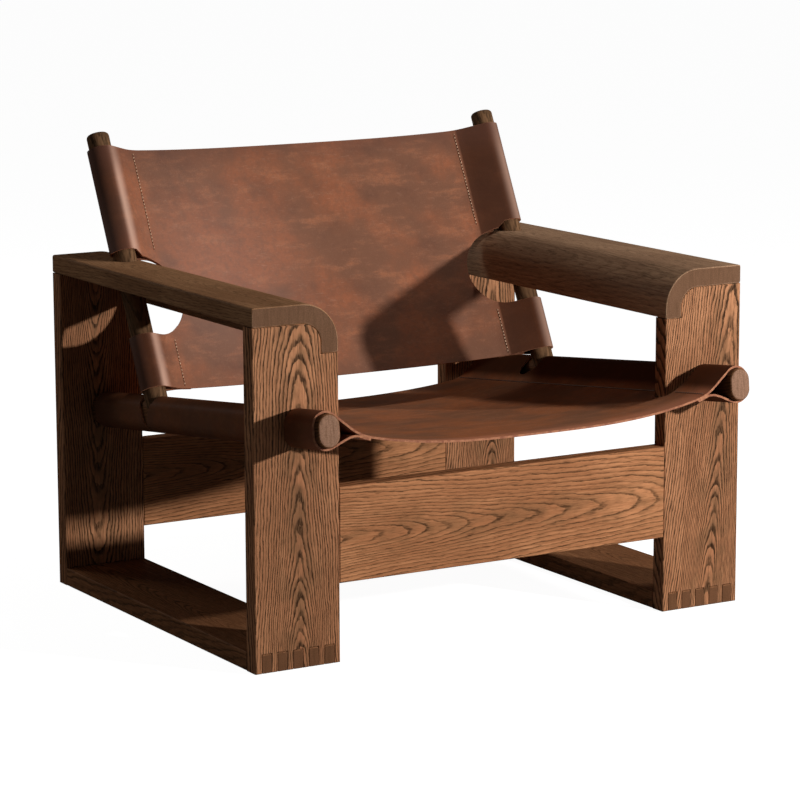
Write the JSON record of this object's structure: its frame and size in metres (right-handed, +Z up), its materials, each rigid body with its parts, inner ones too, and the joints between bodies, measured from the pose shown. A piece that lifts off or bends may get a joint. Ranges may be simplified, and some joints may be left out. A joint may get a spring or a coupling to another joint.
{
  "type": "leather sling lounge chair",
  "caption": "Low lounge chair with wide oak board side frames, turned-down arms and rails, and a leather seat and back slung in sleeves on sloping bars and leaning dowels.",
  "frame": {"origin": "on the floor, under the middle of the chair's box", "axes": "+Z up, -Y the way the sitter faces, +X to the right as seen from the front"},
  "size_m": [0.88, 0.7938, 0.7512],
  "materials": {
    "oak": "stained and oiled oak with open dark pores",
    "beech_pin": "plain turned dowel pin",
    "leather": "waxed thick hide, mottled red-brown, satin",
    "glide": "moulded nylon"
  },
  "bodies": {
    "root": {"arm_right": "oak", "arm_left": "oak", "front_post_right": "oak", "front_post_left": "oak", "rear_post_right": "oak", "rear_post_left": "oak", "runner_right": "oak", "runner_left": "oak", "seat_bar_right": "oak", "seat_bar_left": "oak", "back_dowel_right": "oak", "back_dowel_left": "oak", "front_rail": "oak", "rear_rail": "oak", "front_rail_pin_lower_right": "beech_pin", "front_rail_pin_lower_left": "beech_pin", "front_rail_pin_upper_right": "beech_pin", "front_rail_pin_upper_left": "beech_pin", "front_arm_pin_inner_right": "beech_pin", "front_arm_pin_inner_left": "beech_pin", "front_arm_pin_outer_right": "beech_pin", "front_arm_pin_outer_left": "beech_pin", "rear_rail_pin_lower_right": "beech_pin", "rear_rail_pin_lower_left": "beech_pin", "rear_rail_pin_upper_right": "beech_pin", "rear_rail_pin_upper_left": "beech_pin", "rear_arm_pin_inner_right": "beech_pin", "rear_arm_pin_inner_left": "beech_pin", "rear_arm_pin_outer_right": "beech_pin", "rear_arm_pin_outer_left": "beech_pin", "front_glide_right": "glide", "front_glide_left": "glide", "rear_glide_right": "glide", "rear_glide_left": "glide", "seat_sling": "leather", "back_sling": "leather"}
  },
  "joints": []
}
